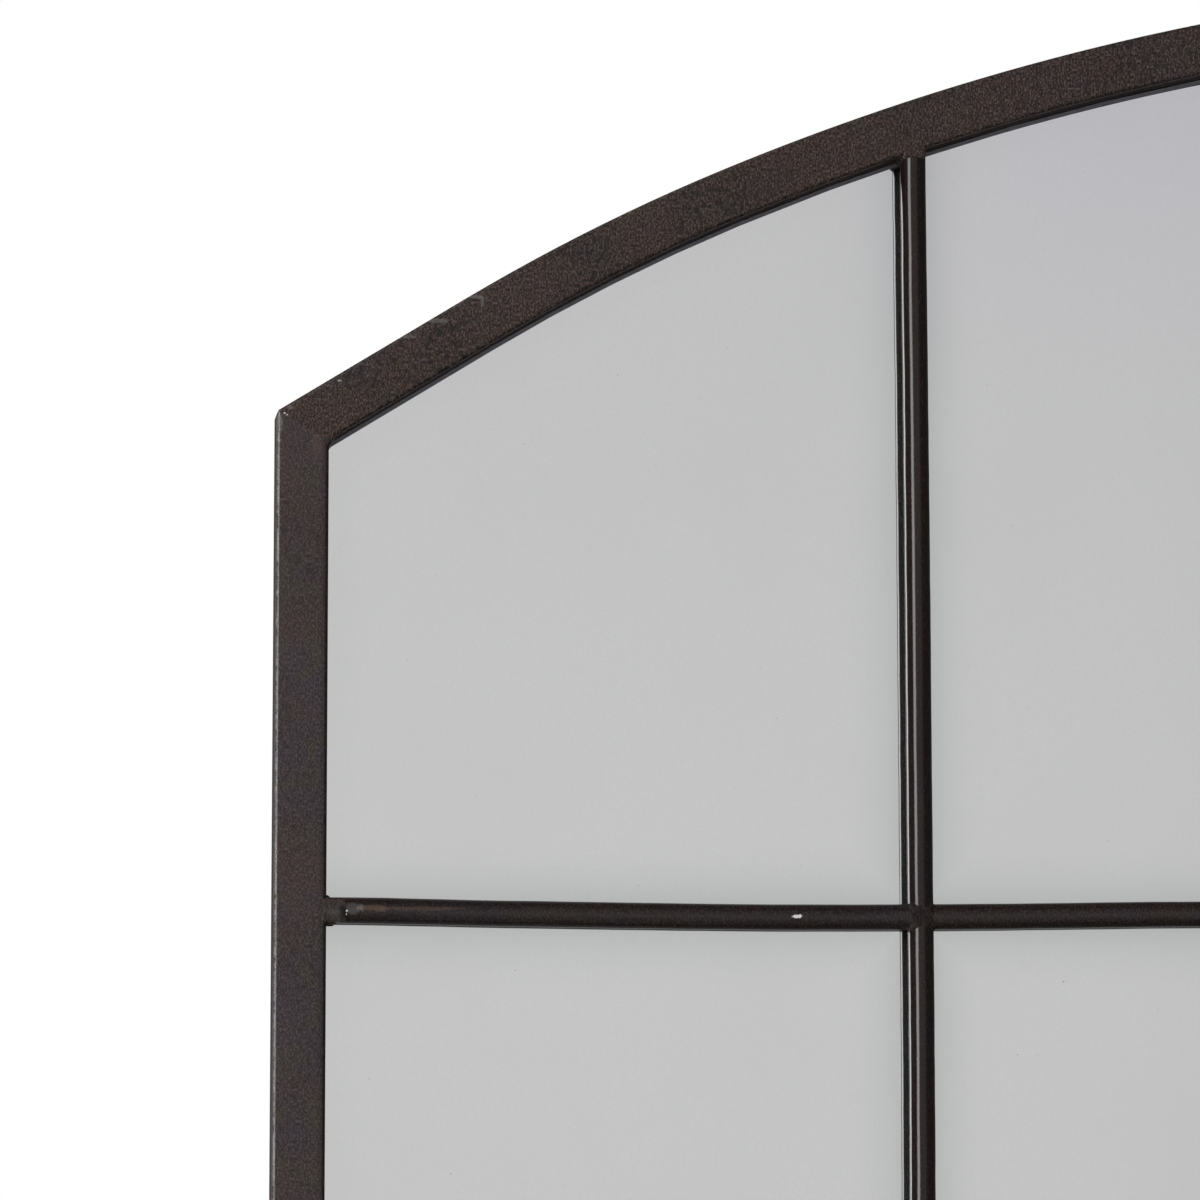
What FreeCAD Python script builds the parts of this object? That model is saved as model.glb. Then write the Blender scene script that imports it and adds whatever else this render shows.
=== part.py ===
"""Arched window mirror: a welded steel grille with one sheet of mirror glass behind it.

Millimetres. X runs to the right, Y towards the wall and Z up. The origin is the middle
of the bottom rail's underside, so the front of the frame looks along -Y.
"""

import FreeCAD, Part
import math
import os

# ---------------------------------------------------------------- driving dimensions
# Panes: equal columns across, equal full rows up to the highest cross bar.
pane_columns = 5
pane_rows = 4
pane_width = 224.0
pane_height = 291.0

# Square tube of the frame.
tube_width = 20.0
tube_depth = 20.0
tube_wall = 1.5
tube_corner_radius = 2.0

# Round bars, with their fronts level with the front of the tube.
bar_diameter = 10.0

# Arch, measured along its outer edge. The tube leaves the corner straight, bends over
# a shoulder and then follows the wider curve of the crown.
corner_above_cross_bar = 191.0
arch_end_run = 85.0
arch_end_slope = 31.9
shoulder_radius = 800.0
crown_half_angle = 23.8

# Glazing. The board's back is level with the back of the tube.
glass_thickness = 4.0
board_thickness = 3.0
glazing_gap = 0.5
arch_glazing_gap = 1.5
board_gap = 1.5
glass_corner_radius = 3.0
tape_width = 5.0
tape_end_gap = 4.0

# Tabs that hold the board in.
tab_width = 16.0
tab_thickness = 1.2
tab_overlap = 12.0
tab_edge_margin = 3.0
tab_screw_margin = 7.0
tab_corner_radius = 3.0
stile_tab_count = 4
bottom_tab_count = 3
arch_tab_count = 5
tab_end_distance = 120.0
arch_tab_lean = 28.0

# Pan head screws, the same kind for the tabs and the hangers.
screw_shank_diameter = 3.5
screw_length = 9.5
screw_point_length = 3.0
screw_tip_radius = 0.3
screw_head_diameter = 7.5
screw_head_height = 2.4
screw_slot_width = 0.9
screw_slot_length = 4.4
screw_slot_depth = 1.1
screw_hole_clearance = 0.1
tab_hole_clearance = 0.25

# Hangers: a strap with a rolled knuckle, and a wire ring that turns in it. Both screws
# sit below the ring as it hangs.
hanger_below_corner = 35.0
strap_width = 11.0
strap_thickness = 1.5
strap_screw_spacing = 13.5
strap_end_margin = 6.0
strap_hole_clearance = 0.25
strap_foot_radius = 3.0
ring_wire_diameter = 3.5
ring_leg_length = 9.0
ring_corner_radius = 2.4
ring_clearance = 0.15
ring_side_gap = 0.1
ring_to_screw_gap = 1.0

# Rubber bumpers that keep the frame off the wall.
bumper_diameter = 16.0
bumper_height = 8.0
bumper_edge_radius = 1.5
bumper_edge_margin = 2.0
bumper_from_bottom = 60.0
bumper_below_strap = 30.0

# ---------------------------------------------------------------- worked out from them
front_y = -tube_depth / 2
back_y = tube_depth / 2
bar_radius = bar_diameter / 2
bar_y = front_y + bar_radius
bar_back_y = front_y + bar_diameter
board_front_y = back_y - board_thickness
glass_front_y = board_front_y - glass_thickness

column_pitch = pane_width + bar_diameter
row_pitch = pane_height + bar_diameter
half_width = (pane_columns * column_pitch - bar_diameter) / 2 + tube_width
half_opening = half_width - tube_width
first_bar_z = tube_width + pane_height + bar_radius
cross_bar_heights = [first_bar_z + row * row_pitch for row in range(pane_rows)]
corner_z = cross_bar_heights[-1] + corner_above_cross_bar

end_angle = math.radians(arch_end_slope)
crown_angle = math.radians(crown_half_angle)
beyond = 2 * tube_width          # how far a piece runs on before it is trimmed


def flat(x, z, y=0.0):
    """A point from its place across and up."""
    return FreeCAD.Vector(x, y, z)


def outward(angle):
    """Unit vector that leans to the left of straight up by an angle."""
    return flat(-math.sin(angle), math.cos(angle))


def mirrored(point):
    """The same point on the other side of the middle."""
    return FreeCAD.Vector(-point.x, point.y, point.z)


outer_corner = flat(-half_width, corner_z)
along_end = flat(math.cos(end_angle), math.sin(end_angle))
shoulder_centre = outer_corner + along_end * arch_end_run - outward(end_angle) * shoulder_radius
crown_radius = shoulder_radius - shoulder_centre.x / math.sin(crown_angle)
crown_centre = shoulder_centre - outward(crown_angle) * (crown_radius - shoulder_radius)
arch_top_z = crown_centre.z + crown_radius

# The mitre at the top corner halves the angle between the stile and the arch.
mitre_drop = tube_width / math.tan((math.pi / 2 + end_angle) / 2)
inner_corner = flat(-half_opening, corner_z - mitre_drop)


def arch_point(lean, inset):
    """Point of the arch's line where its normal leans to the left by an angle."""
    if abs(lean) <= crown_angle:
        return crown_centre + outward(lean) * (crown_radius - inset)
    point = shoulder_centre + outward(abs(lean)) * (shoulder_radius - inset)
    return point if lean > 0 else mirrored(point)


def arch_edges(inset, run_on, y):
    """Edges of the arch's line, from the left end to the right end."""
    lift = FreeCAD.Vector(0, y, 0)
    shoulder = shoulder_radius - inset
    crown = crown_radius - inset
    end = outer_corner - outward(end_angle) * inset - along_end * run_on
    leave = shoulder_centre + outward(end_angle) * shoulder
    over = shoulder_centre + outward((end_angle + crown_angle) / 2) * shoulder
    meet = crown_centre + outward(crown_angle) * crown
    top = crown_centre + outward(0) * crown
    left = [end, leave, over, meet]
    end, leave, over, meet = [point + lift for point in left]
    top = top + lift
    return [
        Part.LineSegment(end, leave).toShape(),
        Part.Arc(leave, over, meet).toShape(),
        Part.Arc(meet, top, mirrored(meet)).toShape(),
        Part.Arc(mirrored(meet), mirrored(over), mirrored(leave)).toShape(),
        Part.LineSegment(mirrored(leave), mirrored(end)).toShape(),
    ]


def closed_face(edges):
    return Part.Face(Part.Wire(Part.__sortEdges__(edges)))


def ends_of(edges):
    """First and last point of a row of edges drawn from left to right."""
    return edges[0].Vertexes[0].Point, edges[-1].Vertexes[-1].Point


def joined_by_lines(first, second):
    """Two rows of edges and the straight lines that close them into one outline."""
    first_start, first_end = ends_of(first)
    second_start, second_end = ends_of(second)
    closers = [
        Part.LineSegment(first_start, second_start).toShape(),
        Part.LineSegment(first_end, second_end).toShape(),
    ]
    return closed_face(first + second + closers)


def chosen_edges(shape, accept):
    return [edge for edge in shape.Edges if accept(edge)]


def level_edges(shape, levels):
    """Edges that lie whole at one of some depths."""
    def accept(edge):
        box = edge.BoundBox
        return any(abs(box.YMin - y) < 1e-6 and abs(box.YMax - y) < 1e-6 for y in levels)
    return chosen_edges(shape, accept)


def trimmed(shape, point_a, point_b, inside):
    """Cut away what lies across the line from a to b, away from the inside point."""
    direction = (point_b - point_a).normalize()
    normal = FreeCAD.Vector(-direction.z, 0, direction.x)
    if (inside - point_a).dot(normal) > 0:
        normal = normal * -1
    reach = 4 * (half_width + corner_z)
    start = point_a - direction * reach
    stop = point_a + direction * reach
    corners = [start, stop, stop + normal * reach, start + normal * reach, start]
    waste = Part.Face(Part.makePolygon([c - flat(0, 0, reach) for c in corners]))
    return shape.cut(waste.extrude(FreeCAD.Vector(0, 2 * reach, 0)))


# ---------------------------------------------------------------- fasteners
def screw_spot(x, z, y, angle=0.0):
    """Place of a screw: where its head's underside sits, and the turn of its slot."""
    return {"x": x, "z": z, "y": y, "angle": angle}


def make_screw(spot):
    """Pan head screw that points towards the front, with a cross recess."""
    shank = screw_shank_diameter / 2
    head = screw_head_diameter / 2
    halfway = math.sqrt(0.5)
    start = flat(0, 0)
    outline = [
        Part.LineSegment(start, flat(head, 0)).toShape(),
        Part.Arc(
            flat(head, 0),
            flat(head * halfway, 0, screw_head_height * halfway),
            flat(0, 0, screw_head_height)).toShape(),
        Part.LineSegment(flat(0, 0, screw_head_height), start).toShape(),
    ]
    dome = closed_face(outline).revolve(start, FreeCAD.Vector(0, 1, 0), 360)
    straight = screw_length - screw_point_length
    towards_front = FreeCAD.Vector(0, -1, 0)
    body = Part.makeCylinder(shank, straight, start, towards_front)
    tip_start = FreeCAD.Vector(0, -straight, 0)
    point = Part.makeCone(shank, screw_tip_radius, screw_point_length, tip_start, towards_front)
    screw = dome.fuse([body, point]).removeSplitter()
    for turn in (0, 90):
        slot = Part.makeBox(
            screw_slot_length, screw_head_height, screw_slot_width,
            FreeCAD.Vector(-screw_slot_length / 2, screw_head_height - screw_slot_depth,
                           -screw_slot_width / 2))
        slot.rotate(start, FreeCAD.Vector(0, 1, 0), turn)
        screw = screw.cut(slot)
    screw.rotate(start, FreeCAD.Vector(0, 1, 0), spot["angle"])
    screw.translate(FreeCAD.Vector(spot["x"], spot["y"], spot["z"]))
    return screw


def evenly(first, last, count):
    """Places from first to last, or the middle where there is only one."""
    if count == 1:
        return [(first + last) / 2]
    return [first + (last - first) * index / (count - 1) for index in range(count)]


screw_inset = tab_edge_margin + tab_screw_margin


def tab_places():
    """Screw of each tab, a set distance in from its end, and where the tab points."""
    middle = half_width - screw_inset
    heights = evenly(tab_end_distance, inner_corner.z - tab_end_distance, stile_tab_count)
    places = [(side * middle, z, flat(-side, 0)) for side in (-1, 1) for z in heights]
    bottom_end = half_width - tab_end_distance
    places += [(x, screw_inset, flat(0, 1))
               for x in evenly(-bottom_end, bottom_end, bottom_tab_count)]
    for degrees in evenly(arch_tab_lean, -arch_tab_lean, arch_tab_count):
        lean = math.radians(degrees)
        spot = arch_point(lean, screw_inset)
        places.append((spot.x, spot.z, outward(lean) * -1))
    return places


tab_screw_y = back_y + tab_thickness
tab_screw_spots = [
    screw_spot(x, z, tab_screw_y, 25.0 * index)
    for index, (x, z, _) in enumerate(tab_places())
]

strap_x = half_width - tube_width / 2
strap_back_y = back_y + strap_thickness
ring_wire_radius = ring_wire_diameter / 2
knuckle_bore_radius = ring_wire_radius + ring_clearance
ring_half_width = strap_width / 2 + ring_side_gap + ring_corner_radius
ring_reach = ring_leg_length + ring_half_width + ring_wire_radius
pivot_y = strap_back_y + knuckle_bore_radius
pivot_z = corner_z - hanger_below_corner
first_screw_drop = ring_reach + ring_to_screw_gap + screw_head_diameter / 2
strap_screw_drops = (first_screw_drop, first_screw_drop + strap_screw_spacing)
strap_length = strap_screw_drops[-1] + strap_end_margin
strap_screw_spots = [
    screw_spot(side * strap_x, pivot_z - drop, strap_back_y, 40.0)
    for side in (-1, 1)
    for drop in strap_screw_drops
]


def drilled(tube, spots):
    """Screw holes through the back wall of a tube."""
    radius = screw_shank_diameter / 2 + screw_hole_clearance
    towards_front = FreeCAD.Vector(0, -1, 0)
    box = tube.BoundBox
    for spot in spots:
        if not box.isInside(FreeCAD.Vector(spot["x"], back_y - tube_wall / 2, spot["z"])):
            continue
        start = FreeCAD.Vector(spot["x"], back_y + tube_wall, spot["z"])
        tube = tube.cut(Part.makeCylinder(radius, 3 * tube_wall, start, towards_front))
    return tube


# ---------------------------------------------------------------- frame
def straight_tube(x_low, x_high, z_low, z_high, inset):
    """Straight length of tube, or of its hollow, inside a box seen from the front."""
    depth = tube_depth - 2 * inset
    if x_high - x_low < z_high - z_low:
        x_low, x_high = x_low + inset, x_high - inset
    else:
        z_low, z_high = z_low + inset, z_high - inset
    corner = FreeCAD.Vector(x_low, front_y + inset, z_low)
    return Part.makeBox(x_high - x_low, depth, z_high - z_low, corner)


def arch_tube(inset):
    """The rolled tube, or its hollow, running on past both corners."""
    outer = arch_edges(inset, beyond, front_y + inset)
    inner = arch_edges(tube_width - inset, beyond, front_y + inset)
    depth = tube_depth - 2 * inset
    return joined_by_lines(outer, inner).extrude(FreeCAD.Vector(0, depth, 0))


def rounded_along(shape, long_edges):
    return shape.makeFillet(tube_corner_radius, long_edges)


def long_edges_of(tube, longest_only):
    """The four long corners of a straight tube, or all arch corners."""
    edges = level_edges(tube, (front_y, back_y))
    if longest_only:
        longest = max(edge.Length for edge in edges)
        return [edge for edge in edges if edge.Length > longest - 1]
    return [edge for edge in edges if edge.Length > tube_width + 1]


lower_left = flat(-half_width, 0)
lower_left_inner = flat(-half_opening, tube_width)


def make_left_stile():
    def blank(inset):
        return straight_tube(-half_width, -half_opening, -beyond, corner_z + beyond, inset)
    outside = blank(0)
    outside = rounded_along(outside, long_edges_of(outside, True))
    tube = outside.cut(blank(tube_wall))
    inside = flat(-half_width, corner_z / 2)
    tube = trimmed(tube, outer_corner, inner_corner, inside)
    tube = trimmed(tube, lower_left, lower_left_inner, inside)
    return drilled(tube, tab_screw_spots + strap_screw_spots)


def make_right_stile():
    return make_left_stile().mirror(FreeCAD.Vector(0, 0, 0), FreeCAD.Vector(1, 0, 0))


def make_bottom_rail():
    def blank(inset):
        return straight_tube(-half_width - beyond, half_width + beyond, 0, tube_width, inset)
    outside = blank(0)
    outside = rounded_along(outside, long_edges_of(outside, True))
    tube = outside.cut(blank(tube_wall))
    inside = flat(0, tube_width / 2)
    tube = trimmed(tube, lower_left, lower_left_inner, inside)
    tube = trimmed(tube, mirrored(lower_left), mirrored(lower_left_inner), inside)
    return drilled(tube, tab_screw_spots)


def make_arch_rail():
    outside = arch_tube(0)
    outside = rounded_along(outside, long_edges_of(outside, False))
    tube = outside.cut(arch_tube(tube_wall))
    inside = flat(0, arch_top_z - tube_width / 2)
    tube = trimmed(tube, outer_corner, inner_corner, inside)
    tube = trimmed(tube, mirrored(outer_corner), mirrored(inner_corner), inside)
    return drilled(tube, tab_screw_spots)


# ---------------------------------------------------------------- bars
def make_cross_bar(height):
    """Round bar in one piece from stile to stile."""
    start = FreeCAD.Vector(-half_opening, bar_y, height)
    return Part.makeCylinder(bar_radius, 2 * half_opening, start, FreeCAD.Vector(1, 0, 0))


def make_upright(x, low, high, below, above):
    """Short round bar whose ends are coped to what lies below and above it."""
    start = FreeCAD.Vector(x, bar_y, low)
    rod = Part.makeCylinder(bar_radius, high - low, start)
    pieces = rod.cut(below).cut(above).Solids
    return min(pieces, key=lambda solid: solid.BoundBox.ZMin)


def make_uprights(cross_bars):
    """Every upright, named by its column and row, counted from the lower left."""
    arch_outside = arch_tube(0)
    arch_outside = rounded_along(arch_outside, long_edges_of(arch_outside, False))
    rail = straight_tube(-half_width, half_width, 0, tube_width, 0)
    rail = rounded_along(rail, long_edges_of(rail, True))
    uprights = {}
    for column in range(1, pane_columns):
        x = -half_opening + column * column_pitch - bar_radius
        stops = [tube_width / 2] + cross_bar_heights + [arch_top_z]
        walls = [rail] + cross_bars + [arch_outside]
        for row in range(pane_rows + 1):
            name = "upright_%d_%d" % (column, row + 1)
            uprights[name] = make_upright(
                x, stops[row], stops[row + 1], walls[row], walls[row + 1])
    return uprights


# ---------------------------------------------------------------- glazing
def make_opening(gap, arch_gap, y, thickness):
    """Slab with the inside shape of the frame, less one gap at the arch and one elsewhere."""
    inset = tube_width + gap
    side = half_width - inset
    top = arch_edges(tube_width + arch_gap, beyond, y)
    top_left, top_right = ends_of(top)
    foot = [flat(end * (half_width + beyond), -beyond, y) for end in (-1, 1)]
    lines = [(top_left, foot[0]), (foot[0], foot[1]), (foot[1], top_right)]
    closers = [Part.LineSegment(start, end).toShape() for start, end in lines]
    slab = closed_face(top + closers).extrude(FreeCAD.Vector(0, thickness, 0))
    window = Part.makeBox(2 * side, thickness, arch_top_z, FreeCAD.Vector(-side, y, inset))
    return slab.common(window)


def make_sheet(gap, arch_gap, y, thickness):
    """Sheet that fits the opening with a gap all round and has round corners."""
    sheet = make_opening(gap, arch_gap, y, thickness)
    side = half_opening - gap
    corners = chosen_edges(sheet, lambda edge: (
        abs(edge.Length - thickness) < 1e-6
        and abs(abs(edge.Vertexes[0].X) - side) < 1e-6))
    return sheet.makeFillet(glass_corner_radius, corners)


def make_glass():
    """The glass stands on its lower edge, so the wider gap is under the arch."""
    return make_sheet(glazing_gap, arch_glazing_gap, glass_front_y, glass_thickness)


def make_edge_sealant():
    """Bead that fills the gap between the edge of the glass and the tubes."""
    opening = make_opening(0, 0, glass_front_y, glass_thickness)
    return opening.cut(make_glass())


def make_glazing_tape():
    """Foam strips that fill the space between the cross bars and the glass."""
    length = 2 * (half_opening - tape_end_gap)
    thickness = glass_front_y - bar_back_y
    return [
        Part.makeBox(length, thickness, tape_width,
                     FreeCAD.Vector(-length / 2, bar_back_y, height - tape_width / 2))
        for height in cross_bar_heights
    ]


def make_tab(x, z, direction):
    """Flat plate screwed behind the tube, with its free end behind the board."""
    tail = tab_screw_margin
    length = tube_width - tab_edge_margin + tab_overlap
    plate = Part.makeBox(
        length, tab_thickness, tab_width,
        FreeCAD.Vector(-tail, back_y, -tab_width / 2))
    corners = chosen_edges(plate, lambda edge: abs(edge.Length - tab_thickness) < 1e-6)
    plate = plate.makeFillet(tab_corner_radius, corners)
    radius = screw_shank_diameter / 2 + tab_hole_clearance
    hole = Part.makeCylinder(
        radius, 3 * tab_thickness, FreeCAD.Vector(0, back_y - tab_thickness, 0),
        FreeCAD.Vector(0, 1, 0))
    plate = plate.cut(hole)
    turn = math.degrees(math.atan2(direction.z, direction.x))
    plate.rotate(FreeCAD.Vector(0, 0, 0), FreeCAD.Vector(0, -1, 0), turn)
    plate.translate(FreeCAD.Vector(x, 0, z))
    return plate


# ---------------------------------------------------------------- hangers
def make_hanger_strap(side):
    """Strap along the stile, rolled into a knuckle at its top end."""
    x = side * strap_x
    left = x - strap_width / 2
    across = FreeCAD.Vector(1, 0, 0)
    leaf = Part.makeBox(strap_width, strap_thickness, strap_length,
                        FreeCAD.Vector(left, back_y, pivot_z - strap_length))
    foot = chosen_edges(leaf, lambda edge: (
        abs(edge.Length - strap_thickness) < 1e-6
        and edge.BoundBox.ZMax < pivot_z - strap_length / 2))
    leaf = leaf.makeFillet(strap_foot_radius, foot)
    pivot = FreeCAD.Vector(left, pivot_y, pivot_z)
    knuckle_radius = knuckle_bore_radius + strap_thickness
    knuckle = Part.makeCylinder(knuckle_radius, strap_width, pivot, across)
    strap = leaf.fuse(knuckle).removeSplitter()
    strap = strap.cut(Part.makeCylinder(knuckle_bore_radius, strap_width, pivot, across))
    hole_radius = screw_shank_diameter / 2 + strap_hole_clearance
    for drop in strap_screw_drops:
        start = FreeCAD.Vector(x, back_y - strap_thickness, pivot_z - drop)
        towards_wall = FreeCAD.Vector(0, 1, 0)
        strap = strap.cut(
            Part.makeCylinder(hole_radius, 3 * strap_thickness, start, towards_wall))
    return strap


def make_hanger_ring(side):
    """Closed wire ring that hangs from its straight side."""
    bend = ring_corner_radius
    straight = ring_half_width - bend
    middle = FreeCAD.Vector(side * strap_x, pivot_y, pivot_z)
    across = FreeCAD.Vector(1, 0, 0)
    down = FreeCAD.Vector(0, 0, -1)
    towards_wall = FreeCAD.Vector(0, 1, 0)
    pin = Part.makeCylinder(ring_wire_radius, 2 * straight, middle - across * straight, across)
    pieces = [pin]
    for end in (-1, 1):
        leg_top = middle + across * (end * ring_half_width) + down * bend
        leg = Part.makeCylinder(ring_wire_radius, ring_leg_length - bend, leg_top, down)
        bend_centre = middle + across * (end * straight) + down * bend
        section = Part.Face(Part.Wire(Part.makeCircle(ring_wire_radius, leg_top, down)))
        pieces += [leg, section.revolve(bend_centre, towards_wall, -90 * end)]
    bow_centre = middle + down * ring_leg_length
    bow_start = bow_centre + across * ring_half_width
    section = Part.Face(Part.Wire(Part.makeCircle(ring_wire_radius, bow_start, down)))
    pieces.append(section.revolve(bow_centre, towards_wall, 180))
    return pieces[0].fuse(pieces[1:]).removeSplitter()


# ---------------------------------------------------------------- bumpers
def make_bumper(x, z):
    """Round rubber pad with softened edges."""
    start = FreeCAD.Vector(x, back_y, z)
    pad = Part.makeCylinder(bumper_diameter / 2, bumper_height, start, FreeCAD.Vector(0, 1, 0))
    rim = level_edges(pad, (back_y + bumper_height,))
    return pad.makeFillet(bumper_edge_radius, rim)


def make_wall_bumpers():
    x = half_width - bumper_edge_margin - bumper_diameter / 2
    heights = (bumper_from_bottom, pivot_z - strap_length - bumper_below_strap)
    return [make_bumper(side * x, z) for side in (-1, 1) for z in heights]


# ---------------------------------------------------------------- the whole mirror
def build_nodes():
    cross_bars = [make_cross_bar(height) for height in cross_bar_heights]
    nodes = {
        "left_stile": make_left_stile(),
        "right_stile": make_right_stile(),
        "bottom_rail": make_bottom_rail(),
        "arch_rail": make_arch_rail(),
    }
    for index, bar in enumerate(cross_bars):
        nodes["cross_bar_%d" % (index + 1)] = bar
    nodes.update(make_uprights(cross_bars))
    nodes["mirror_glass"] = make_glass()
    nodes["back_board"] = make_sheet(board_gap, board_gap, board_front_y, board_thickness)
    nodes["edge_sealant"] = make_edge_sealant()
    nodes["glazing_tape"] = Part.makeCompound(make_glazing_tape())
    tabs = [make_tab(x, z, direction) for x, z, direction in tab_places()]
    nodes["retaining_tabs"] = Part.makeCompound(tabs)
    nodes["tab_screws"] = Part.makeCompound([make_screw(s) for s in tab_screw_spots])
    nodes["hanger_screws"] = Part.makeCompound([make_screw(s) for s in strap_screw_spots])
    for name, side in (("left", -1), ("right", 1)):
        nodes[name + "_hanger_strap"] = make_hanger_strap(side)
        nodes[name + "_hanger_ring"] = make_hanger_ring(side)
    nodes["wall_bumpers"] = Part.makeCompound(make_wall_bumpers())
    return nodes


os.makedirs("parts", exist_ok=True)
for node_name, node_shape in build_nodes().items():
    node_shape.exportStep("parts/%s.step" % node_name)
    volume = sum(solid.Volume for solid in node_shape.Solids)
    print("%-18s solids %2d  volume %10.0f mm3  valid %s" % (
        node_name, len(node_shape.Solids), volume, node_shape.isValid()))
print("overall width %.1f height %.1f" % (2 * half_width, arch_top_z))
print("crown radius %.1f, outer corner at %.1f, pivots at y %.2f z %.2f" % (
    crown_radius, corner_z, pivot_y, pivot_z))
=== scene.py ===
# %% [markdown]
# # Arched window mirror
# This scene dresses a welded steel window mirror. The frame is square tube with a rolled
# arch on top. Round bars cross in front of one sheet of mirror glass. The measured solids
# come in as a fixed frame, and the pieces that show are modelled again here as a maker
# would shape them, so that tube corners are round, bars are smooth and welds have metal.

# %% Load the measured solids
import math

import bmesh
import bpy
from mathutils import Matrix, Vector


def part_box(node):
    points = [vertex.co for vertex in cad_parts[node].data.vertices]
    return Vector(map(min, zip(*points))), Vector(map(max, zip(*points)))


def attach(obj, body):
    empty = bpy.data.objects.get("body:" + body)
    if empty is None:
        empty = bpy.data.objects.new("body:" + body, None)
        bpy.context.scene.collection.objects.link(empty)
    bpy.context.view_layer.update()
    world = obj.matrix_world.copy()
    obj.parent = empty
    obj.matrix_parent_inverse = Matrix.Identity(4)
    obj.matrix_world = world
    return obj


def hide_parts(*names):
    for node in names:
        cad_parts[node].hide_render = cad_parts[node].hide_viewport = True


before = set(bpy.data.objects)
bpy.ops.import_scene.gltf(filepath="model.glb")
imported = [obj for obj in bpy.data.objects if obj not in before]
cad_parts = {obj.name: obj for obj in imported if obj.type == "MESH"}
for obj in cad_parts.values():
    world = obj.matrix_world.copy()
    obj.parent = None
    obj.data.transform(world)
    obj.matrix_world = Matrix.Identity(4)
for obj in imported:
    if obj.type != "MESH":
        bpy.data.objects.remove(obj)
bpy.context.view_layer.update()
MIRROR = "mirror"

# %% [markdown]
# ## Sizes read from the solids
# Every size below is read from a solid's box, so the looks follow the construction. Only
# the bends of the arch are written again, because a box can't tell them.

# %% Sizes of the tube, the bars and the opening
stile_low, stile_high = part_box("left_stile")
rail_low, rail_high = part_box("bottom_rail")
bar_low, bar_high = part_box("cross_bar_1")

TUBE = rail_high.z - rail_low.z
HALF_WIDTH = -stile_low.x
HALF_OPENING = HALF_WIDTH - TUBE
FRONT = stile_low.y
BACK = stile_high.y
CORNER_Z = stile_high.z
BAR_RADIUS = (bar_high.z - bar_low.z) / 2
BAR_Y = (bar_low.y + bar_high.y) / 2
ARCH_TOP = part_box("arch_rail")[1].z
GLASS_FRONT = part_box("mirror_glass")[0].y
print("tube %.1f mm, bars %.1f mm, width %.1f mm" % (TUBE * 1e3, BAR_RADIUS * 2e3, HALF_WIDTH * 2e3))

# %% The line of the arch along its outer edge
END_RUN = 0.085
END_SLOPE = math.radians(31.9)
SHOULDER_RADIUS = 0.800
CROWN_ANGLE = math.radians(23.8)


def outward(lean):
    """Unit vector that leans to the left of straight up."""
    return Vector((-math.sin(lean), 0, math.cos(lean)))


def mirrored(point):
    """The same point on the other side of the middle."""
    return Vector((-point.x, point.y, point.z))


def on_side(point, side):
    """A point of the left half, or its twin on the right where the side is 1."""
    return point if side < 0 else mirrored(point)


OUTER_CORNER = Vector((-HALF_WIDTH, 0, CORNER_Z))
ALONG_END = Vector((math.cos(END_SLOPE), 0, math.sin(END_SLOPE)))
SHOULDER_CENTRE = OUTER_CORNER + ALONG_END * END_RUN - outward(END_SLOPE) * SHOULDER_RADIUS
CROWN_RADIUS = SHOULDER_RADIUS - SHOULDER_CENTRE.x / math.sin(CROWN_ANGLE)
CROWN_CENTRE = Vector((0, 0, ARCH_TOP - CROWN_RADIUS))
MITRE_DROP = TUBE / math.tan((math.pi / 2 + END_SLOPE) / 2)
INNER_CORNER = Vector((-HALF_OPENING, 0, CORNER_Z - MITRE_DROP))
print("crown radius %.1f mm" % (CROWN_RADIUS * 1e3))

# %% [markdown]
# ## Working as by hand
# Each piece starts as a primitive and is shaped in edit mode. These helpers do what a
# hand does with the mouse: go into edit mode, pick parts of the mesh by their place, and
# come out again. A finished piece sits at the origin with its place in its mesh.


# %% Helpers for object mode and edit mode
def only(piece):
    """Select one object alone and make it active."""
    bpy.ops.object.select_all(action="DESELECT")
    piece.select_set(True)
    bpy.context.view_layer.objects.active = piece


def apply_place(piece):
    """Put a piece's place, turn and scale into its mesh."""
    only(piece)
    bpy.ops.object.transform_apply(location=True, rotation=True, scale=True)


def enter(piece):
    """Open one piece in edit mode."""
    only(piece)
    bpy.ops.object.mode_set(mode="EDIT")


def leave():
    """Go back to object mode."""
    bpy.ops.object.mode_set(mode="OBJECT")


def pick(piece, kind, wanted):
    """Select the vertices or edges that a test accepts."""
    bpy.ops.mesh.select_mode(type=kind)
    bpy.ops.mesh.select_all(action="DESELECT")
    mesh = bmesh.from_edit_mesh(piece.data)
    parts = {"VERT": mesh.verts, "EDGE": mesh.edges}[kind]
    for part in parts:
        if wanted(part):
            part.select_set(True)
    mesh.select_flush_mode()
    bmesh.update_edit_mesh(piece.data)


# %% Edges by their direction
X_AXIS, Z_AXIS = 0, 2
HAIR = 1e-6


def edge_runs_along(edge, axis):
    """True for an edge that is parallel to an axis, to within a hair."""
    step = edge.verts[1].co - edge.verts[0].co
    return abs(abs(step[axis]) - step.length) < HAIR


# %% Finishing a piece
CREASE = math.radians(35)
ALL_SMOOTH = math.radians(180)


def settle(piece, smooth_angle=CREASE):
    """Apply the piece's place, turn its faces outwards and shade it."""
    apply_place(piece)
    enter(piece)
    bpy.ops.mesh.select_all(action="SELECT")
    bpy.ops.mesh.normals_make_consistent(inside=False)
    leave()
    bpy.ops.object.shade_smooth_by_angle(angle=smooth_angle)


def dress(piece, name, finish, material_slot, *stands_for):
    """Name a finished piece, give it its finish and fix it to the mirror's body."""
    piece.name = name
    piece.data.name = name
    piece.data.materials.clear()
    piece.data.materials.append(finish)
    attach(piece, MIRROR)
    if stands_for:
        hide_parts(*stands_for)


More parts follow.
